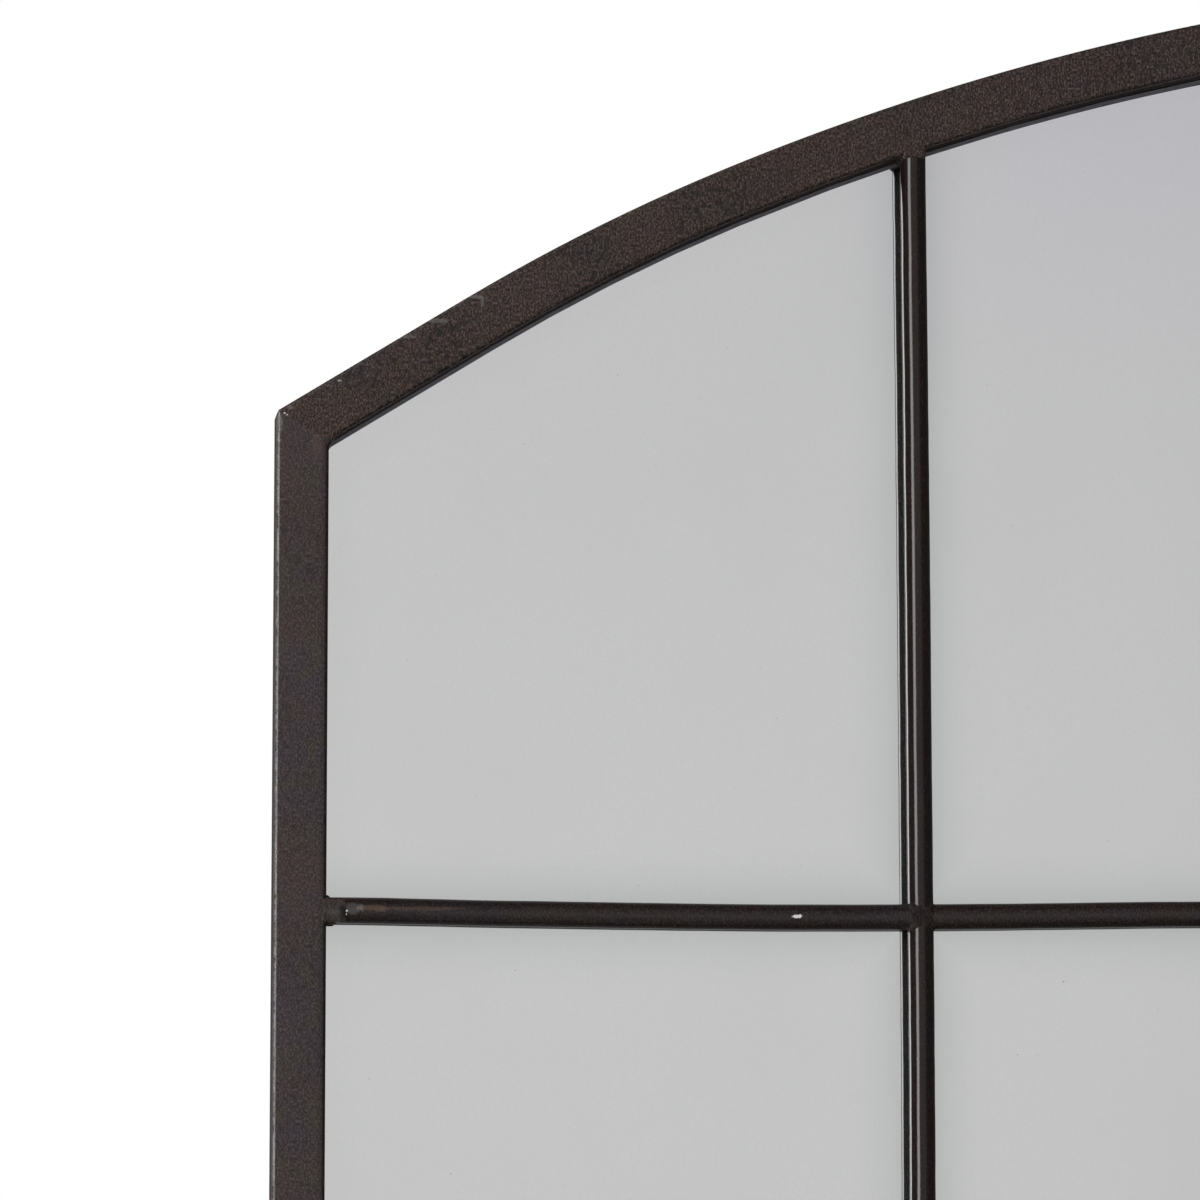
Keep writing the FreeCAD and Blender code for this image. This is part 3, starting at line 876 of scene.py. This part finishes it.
# %% The same weld at every crossing
pattern_weld = crossing_weld()
print("one crossing weld has", len(pattern_weld.data.polygons), "faces")
crossings = [(name, x) for name in cross_names for x in upright_xs]
for number, (name, x) in enumerate(crossings, 1):
    height = bar_centre(name, x)
    weld = copy_to(pattern_weld, (rod_middle(x, height), 0, height))
    settle(weld, ALL_SMOOTH)
    dress(weld, "crossing_weld_%d" % number, weld_paint, "bar_finish")
bpy.data.objects.remove(pattern_weld)
print(len(crossings), "crossings welded")

# %% [markdown]
# ## Bar ends
# Where a bar runs into the tube, weld metal bridges the round corner of the tube, and it
# is ground level with the front. The metal creeps about a millimetre up the tube on
# either side of the bar, as a small fillet.


# %% Sizes of the metal. Its pads start a little proud of the tube, as smoothing shrinks them.
TOWARDS_WALL = Vector((0, 1, 0))
GROUND_Y = FRONT + 0.0034
GROUND_DEPTH = 0.0070
GROUND_WIDTH = 0.0094
GROUND_ROUNDING = 0.0011
OVER_TUBE = 0.0024
END_STUB = 0.0115
END_STUB_OUT = 0.0045
COLLAR = (0.0026, 0.0116, 0.0086)
COLLAR_OUT = 0.0001
COLLAR_BACK = Vector((0, 0.0006, 0))
COLLAR_ROUNDING = 0.0012
DROP_ROUNDING = 0.0008


def block_size(along, across, length, width, depth):
    """X, Y and Z of a block from its sizes along a bar, across it and towards the wall."""
    return tuple(
        abs(a) * length + abs(b) * width + abs(c) * depth
        for a, b, c in zip(along, across, TOWARDS_WALL))


# %% A weld where a bar meets a tube
def end_weld(place, axis, into_bar, ground_length, name, drops=()):
    """Weld at the end of a bar along an axis. Into_bar is 1 or -1, the way along that axis
    from the tube into the bar. Drops are spilled metal, each with a shift and a size."""
    across = Vector((0, 0, 1)) if axis == X_AXIS else Vector((1, 0, 0))
    along = Vector((into_bar, 0, 0)) if axis == X_AXIS else Vector((0, 0, into_bar))
    stub = plain_rod(place + along * END_STUB_OUT, END_STUB, axis, STUB_RADIUS)
    ground_middle = place + along * (ground_length - OVER_TUBE) / 2
    ground = pad(
        Vector((ground_middle.x, GROUND_Y, ground_middle.z)),
        block_size(along, across, ground_length + OVER_TUBE, GROUND_WIDTH, GROUND_DEPTH),
        0, GROUND_ROUNDING)
    collar = pad(
        place + along * COLLAR_OUT + COLLAR_BACK, block_size(along, across, *COLLAR),
        0, COLLAR_ROUNDING)
    spilled = [pad(place + Vector(shift), size, 0, DROP_ROUNDING) for shift, size in drops]
    weld = melt([stub, ground, collar] + spilled, name, rounds=7)
    settle(weld, ALL_SMOOTH)
    dress(weld, name, ground_paint, "frame_finish")


# %% Ends of the cross bars. The top left one is longer and has a drop under it.
SHORT_GROUND = 0.0030
LONG_GROUND = 0.0078
TOP_LEFT_DROPS = (((0.0024, -0.0010, -0.0043), (0.0036, 0.0056, 0.0024)),)
BESIDE_STILE = 0.576

for name in cross_names:
    for side, word in ((-1, "left"), (1, "right")):
        place = Vector((side * HALF_OPENING, BAR_Y, bar_centre(name, side * BESIDE_STILE)))
        top_left = side < 0 and name == cross_names[-1]
        end_weld(
            place, X_AXIS, -side, LONG_GROUND if top_left else SHORT_GROUND,
            "%s_weld_%s" % (name, word), TOP_LEFT_DROPS if top_left else ())
print(2 * len(cross_names), "bar ends welded to the stiles")

# %% Feet of the lowest uprights
for number, x in enumerate(upright_xs, 1):
    place = Vector((rod_middle(x, TUBE), BAR_Y, TUBE))
    end_weld(place, Z_AXIS, 1, SHORT_GROUND, "bottom_weld_%d" % number)
print(len(upright_xs), "feet welded to the bottom rail")


# %% Welds under the arch, where the tube crosses the bar at a slant
ARCH_STUB = 0.012
ARCH_STUB_DOWN = Vector((0, 0, 0.003))
ARCH_GROUND = (0.0096, GROUND_DEPTH, 0.0074)
ARCH_COLLAR = (0.0104, 0.0090, 0.0036)
ARCH_COLLAR_SHIFT = Vector((-0.0014, 0.0022, -0.0004))


def inner_arch_height(x):
    """Height of the arch's inner side at an x."""
    inner = CROWN_RADIUS - TUBE
    return CROWN_CENTRE.z + math.sqrt(inner ** 2 - x ** 2)


for number, x in enumerate(upright_xs, 1):
    height = inner_arch_height(x)
    lean = math.asin(x / (CROWN_RADIUS - TUBE))
    x = rod_middle(x, height)
    place = Vector((x, BAR_Y, height))
    stub = plain_rod(place - ARCH_STUB_DOWN, ARCH_STUB, Z_AXIS, STUB_RADIUS)
    ground = pad(
        Vector((x - 0.0002, GROUND_Y, height + 0.0012)), ARCH_GROUND, 0, GROUND_ROUNDING)
    collar = pad(place + ARCH_COLLAR_SHIFT, ARCH_COLLAR, lean, COLLAR_ROUNDING)
    name = "arch_weld_%d" % number
    weld = melt([stub, ground, collar], name, rounds=10, ripple=0.0001)
    settle(weld, ALL_SMOOTH)
    dress(weld, name, arch_paint, "frame_finish")
    print(name, "leans by %.1f degrees" % math.degrees(lean))

# %% Fillets in the two upper corners of the opening
GLASS_CLEARANCE = 0.0001
FILLET_BURIED = 0.0003
FILLET_LONG, FILLET_THICK = 0.0062, 0.0034
FILLET_ROUNDING = 0.0012
for side, word in ((-1, "left"), (1, "right")):
    corner = on_side(INNER_CORNER, side)
    inwards = (Vector((-side * ALONG_END.x, 0, ALONG_END.z)) + Vector((0, 0, -1))).normalized()
    turn = math.atan2(inwards.x, inwards.z)
    depth = GLASS_FRONT - FRONT - GLASS_CLEARANCE
    middle = corner - inwards * FILLET_BURIED + Vector((0, FRONT + depth / 2, 0))
    name = "corner_weld_" + word
    block = pad(middle, (FILLET_LONG, depth, FILLET_THICK), turn, FILLET_ROUNDING)
    fillet = melt([block], name, rounds=6, ripple=0.0001)
    settle(fillet, ALL_SMOOTH)
    dress(fillet, name, frame_paint, "frame_finish")
    print(name, "is %.1f mm deep" % (depth * 1e3))

# %% [markdown]
# ## Mirror glass
# The sheet keeps its measured solid. A real mirror reflects from the silver behind the
# glass, and the solid's front stands where that reflection is seen. It is nearly
# perfect, so its colour and a very low roughness are enough, with a few dust specks.
# Beside the bars, painted shade darkens the glass.


# %% Silvered glass
# How far from the bars and how strongly painted shade darkens the glass.
SHADE_REACH = 0.026
SHADE_FALL = 2.2
SHADE_SHARE = 0.45


def beside_lines(tree, coordinate, lines):
    """Distance from a coordinate to the nearest of several lines."""
    nearest = None
    for line in lines:
        away = math_node(tree, "ABSOLUTE", math_node(tree, "SUBTRACT", coordinate, line))
        nearest = away if nearest is None else math_node(tree, "MINIMUM", nearest, away)
    return nearest


def silvered_glass():
    """Silver with a faint haze, dust, and painted shade beside the bars."""
    material, tree, shader = new_material("silvered_glass")
    where = object_coordinates(tree)
    place = split(tree, where)
    beside_bars = math_node(
        tree, "MINIMUM", beside_lines(tree, place["X"], upright_xs),
        beside_lines(tree, place["Z"], cross_heights))
    # Painted shade: the glass grows darker towards the bars.
    painted_shade = math_node(
        tree, "POWER", stretch(tree, beside_bars, BAR_RADIUS + SHADE_REACH, BAR_RADIUS - 0.002), SHADE_FALL)
    dust = noise(tree, where, 650.0, 1.0)
    haze = noise(tree, where, 1900.0, 2.0, 0.6)
    clouds = noise(tree, where, 14.0, 3.0)
    colour = blend_colours(
        tree, stretch(tree, haze, 0.35, 0.65), (0.900, 0.903, 0.903), (0.862, 0.865, 0.867))
    colour = blend_colours(
        tree, stretch(tree, clouds, 0.45, 0.65, 0.0, 0.4), colour, (0.855, 0.860, 0.858))
    colour = blend_colours(
        tree, stretch(tree, dust, 0.80, 0.83), colour, (0.35, 0.34, 0.33))
    colour = blend_colours(
        tree, math_node(tree, "MULTIPLY", painted_shade, SHADE_SHARE), colour, (0.52, 0.54, 0.54))
    tree.links.new(colour, shader.inputs["Base Color"])
    shader.inputs["Metallic"].default_value = 0.985
    shader.inputs["Roughness"].default_value = 0.012
    return material


def paint_node(name, finish):
    """Give a measured solid a finish of its own and keep its shape."""
    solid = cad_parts[name]
    solid.data.materials.clear()
    solid.data.materials.append(finish)


paint_node("mirror_glass", silvered_glass())
print("grime reaches %.0f mm from the middle of a bar" % ((BAR_RADIUS + SHADE_REACH) * 1e3))

# %% [markdown]
# ## The back
# The back board is brown hardboard with the screen pattern of its rough side. The tabs,
# straps, screws and rings are bright zinc, which has a faint crystal mottle. The bumpers
# and the foam tape are black, and the bead of sealant round the glass is a dark blue
# grey. These solids already have their right shape, so they only get a finish.


# %% Hardboard
SCREEN_SCALE = 180.0


def bands(tree, where, direction):
    """Even bands across a direction, as one set of wires of the screen pressed in."""
    made = node(tree, "TexWave", wave_type="BANDS", bands_direction=direction)
    made.inputs["Scale"].default_value = SCREEN_SCALE
    tree.links.new(where, made.inputs["Vector"])
    return made.outputs["Fac"]


def hardboard():
    """Brown fibre with the print of a screen."""
    material, tree, shader = new_material("hardboard_screen_side")
    where = object_coordinates(tree)
    fibre = noise(tree, where, 900.0, 5.0, 0.7)
    cloudy = noise(tree, where, 9.0, 3.0)
    screen = math_node(tree, "MULTIPLY", bands(tree, where, "X"), bands(tree, where, "Z"))
    colour = blend_colours(
        tree, stretch(tree, fibre, 0.3, 0.7), (0.16, 0.085, 0.045), (0.27, 0.155, 0.085))
    colour = blend_colours(
        tree, stretch(tree, cloudy, 0.4, 0.65, 0.0, 0.35), colour, (0.20, 0.12, 0.075))
    tree.links.new(colour, shader.inputs["Base Color"])
    shader.inputs["Roughness"].default_value = 0.75
    height = math_node(tree, "ADD", screen, math_node(tree, "MULTIPLY", fibre, 0.5))
    bump(tree, shader, height, 0.6, 0.0003)
    return material


# %% Zinc plate, screws and rings
def bright_zinc(name, colour, rough):
    """Zinc with a crystal mottle and fine scratches."""
    material, tree, shader = new_material(name)
    where = object_coordinates(tree)
    crystals = noise(tree, where, 420.0, 3.0, 0.6)
    scratch = noise(tree, where, 2500.0, 2.0)
    darker = toned(colour, (0.72, 0.72, 0.72))
    tree.links.new(
        blend_colours(tree, stretch(tree, crystals, 0.35, 0.65), colour, darker),
        shader.inputs["Base Color"])
    shader.inputs["Metallic"].default_value = 1.0
    tree.links.new(
        stretch(tree, crystals, 0.3, 0.7, rough, rough + 0.15), shader.inputs["Roughness"])
    bump(tree, shader, scratch, 0.25, 0.00003)
    return material


# %% Rubber, foam and sealant
def soft_black(name, pore_scale, depth, dark, light):
    """Dull, slightly porous stuff between two colours."""
    material, tree, shader = new_material(name)
    where = object_coordinates(tree)
    pores = noise(tree, where, pore_scale, 4.0, 0.7)
    tree.links.new(
        blend_colours(tree, stretch(tree, pores, 0.3, 0.7), dark, light),
        shader.inputs["Base Color"])
    shader.inputs["Roughness"].default_value = 0.8
    bump(tree, shader, pores, 0.5, depth)
    return material


# %% A finish for each measured solid of the back
RUBBER = ((0.014, 0.014, 0.014), (0.035, 0.034, 0.033))
SILICONE = ((0.115, 0.112, 0.124), (0.165, 0.162, 0.182))
back_finishes = (
    (hardboard(), ("back_board",)),
    (bright_zinc("zinc_plate", (0.58, 0.58, 0.56), 0.32),
     ("retaining_tabs", "left_hanger_strap", "right_hanger_strap")),
    (bright_zinc("screw_zinc", (0.50, 0.50, 0.49), 0.28), ("tab_screws", "hanger_screws")),
    (bright_zinc("wire_zinc", (0.62, 0.62, 0.60), 0.22), ("left_hanger_ring", "right_hanger_ring")),
    (soft_black("moulded_rubber", 700.0, 0.0001, *RUBBER), ("wall_bumpers",)),
    (soft_black("foam_tape", 1500.0, 0.0003, *RUBBER), ("glazing_tape",)),
    (soft_black("silicone_bead", 400.0, 0.0001, *SILICONE), ("edge_sealant",)),
)
for finish, names in back_finishes:
    for name in names:
        paint_node(name, finish)
    print(finish.name, "on", ", ".join(names))

# %% [markdown]
# ## Studio
# The background is pure white, so the world is white to the camera alone. What metal and
# glass see is a grey studio: mid grey in front, a bright panel to the left, which draws
# the thin bright lines along the bars, dark to the right, and pale behind, so that the
# zinc on the back shines. It could be built from real walls and panels, but two ramps, one
# round the room and one up it, are quicker to steer. Paint and floor get a soft light,
# stronger from the left, and one lamp. The reflections of lamp and floor are switched off.

# %% Directions: round the room from the front, positive to the right, and up it
world = bpy.data.worlds.new("studio")
bpy.context.scene.world = world
world.use_nodes = True
sky = world.node_tree
sky.nodes.clear()
direction = split(sky, node(sky, "TexCoord").outputs["Generated"])
towards_front = math_node(sky, "MULTIPLY", direction["Y"], -1.0)
azimuth = math_node(sky, "ARCTAN2", direction["X"], towards_front)
elevation = math_node(sky, "ARCSINE", direction["Z"])


# %% Brightness of the studio, in pairs of degrees and brightness
def brightness_by_angle(angle, stops):
    """A colour ramp along an angle, through the stops."""
    low, high = stops[0][0], stops[-1][0]
    ramp = node(sky, "ValToRGB")
    places = ramp.color_ramp.elements
    while len(places) < len(stops):
        places.new(1.0)
    for place, (degrees, value) in zip(places, stops):
        place.position = (degrees - low) / (high - low)
        place.color = (value, value, value, 1)
    share = stretch(sky, angle, math.radians(low), math.radians(high))
    sky.links.new(share, ramp.inputs["Fac"])
    return ramp.outputs["Color"]


ROUND_THE_ROOM = (
    (-180, 0.55), (-120, 0.50), (-80, 0.15), (-59, 0.12), (-53, 8.4), (-37, 8.4),
    (-31, 0.60), (4, 0.624), (10, 0.617), (14, 0.607), (16, 0.590), (34, 0.10),
    (100, 0.12), (125, 0.50), (180, 0.55))
UP_THE_ROOM = (
    (-90, 0.25), (-48, 0.38), (-18, 0.80), (-3, 1.0), (3, 1.0), (11, 0.955), (13, 0.905),
    (22, 0.80), (38, 0.56), (60, 0.25), (90, 0.20))


def multiply_colours(tree, first, second):
    """The product of two colours."""
    made = node(tree, "Mix", data_type="RGBA", blend_type="MULTIPLY")
    made.inputs["Factor"].default_value = 1.0
    tree.links.new(first, made.inputs["A"])
    tree.links.new(second, made.inputs["B"])
    return made.outputs["Result"]


room = multiply_colours(
    sky, brightness_by_angle(azimuth, ROUND_THE_ROOM), brightness_by_angle(elevation, UP_THE_ROOM))
print("studio of", len(ROUND_THE_ROOM), "by", len(UP_THE_ROOM), "stops")

# %% A cool tint high up in front, which lies over the top right of the glass
WHITE = (1.0, 1.0, 1.0)
COOL = (0.985, 0.975, 1.025)
cool_share = math_node(
    sky, "MULTIPLY", stretch(sky, azimuth, math.radians(9), math.radians(13)),
    stretch(sky, elevation, math.radians(8.5), math.radians(11.5)))
room = multiply_colours(sky, room, blend_colours(sky, cool_share, WHITE, COOL))

# %% What each kind of ray sees
LIT_SIDE = (0.80, 0.80, 0.81)
FAR_SIDE = (0.34, 0.33, 0.33)
light_path = node(sky, "LightPath")
soft_light = blend_colours(
    sky, stretch(sky, azimuth, math.radians(-70), math.radians(70)), LIT_SIDE, FAR_SIDE)
seen = blend_colours(sky, light_path.outputs["Is Diffuse Ray"], room, soft_light)
seen = blend_colours(sky, light_path.outputs["Is Camera Ray"], seen, WHITE)
background = node(sky, "Background")
sky.links.new(seen, background.inputs["Color"])
sky_out = node(sky, "OutputWorld")
sky.links.new(background.outputs["Background"], sky_out.inputs["Surface"])

# %% Key lamp, to the left and above
KEY_SIDE = 1.4
KEY_WATTS = 55
KEY_AIM = Vector((0, 0, 0.9))
bpy.ops.object.light_add(type="AREA", location=(-2.4, -2.6, 2.6))
key = bpy.context.object
key.name = "key_lamp"
key.data.shape = "RECTANGLE"
key.data.size = KEY_SIDE
key.data.size_y = KEY_SIDE
key.data.energy = KEY_WATTS
key.rotation_mode = "QUATERNION"
key.rotation_quaternion = (KEY_AIM - key.location).to_track_quat("-Z", "Y")
key.visible_glossy = False
print("key lamp %.1f m away" % (KEY_AIM - key.location).length)

# %% Pale floor, just under the bottom rail
FLOOR_SIDE = 30
FLOOR_DROP = 0.0005
bpy.ops.mesh.primitive_plane_add(size=FLOOR_SIDE, location=(0, 0, -FLOOR_DROP))
floor = bpy.context.object
floor.name = "studio_floor"
floor_material, _, floor_shader = new_material("pale_floor")
floor_shader.inputs["Base Color"].default_value = (0.78, 0.78, 0.78, 1)
floor_shader.inputs["Roughness"].default_value = 0.9
floor.data.materials.append(floor_material)
floor.visible_glossy = False

# %% [markdown]
# ## Camera
# The photograph shows only the top left corner, from about 1.7 metres with a long lens.
# The camera could be set by eye, but its place was worked out from the arch, the bars and
# the reflections of the bars, so that most edges fall within a pixel of the photograph's.

# %% Camera
PICTURE = 1200
FOCAL_PIXELS = 4400
CAMERA_YAW = math.radians(7.067)
CAMERA_PITCH = math.radians(6.18)
CAMERA_ROLL = math.radians(0.060)
bpy.ops.object.camera_add(location=(-0.6824, -1.6752, 1.157))
camera = bpy.context.object
camera.name = "photo_camera"
camera.data.sensor_width = 36
camera.data.lens = FOCAL_PIXELS / PICTURE * camera.data.sensor_width
camera.rotation_mode = "XYZ"
camera.rotation_euler = (math.pi / 2 + CAMERA_PITCH, CAMERA_ROLL, -CAMERA_YAW)
bpy.context.scene.camera = camera
bpy.context.scene.view_settings.view_transform = "Standard"
print("lens %.0f mm, %.2f m in front of the tube" % (
    camera.data.lens, FRONT - camera.location.y))
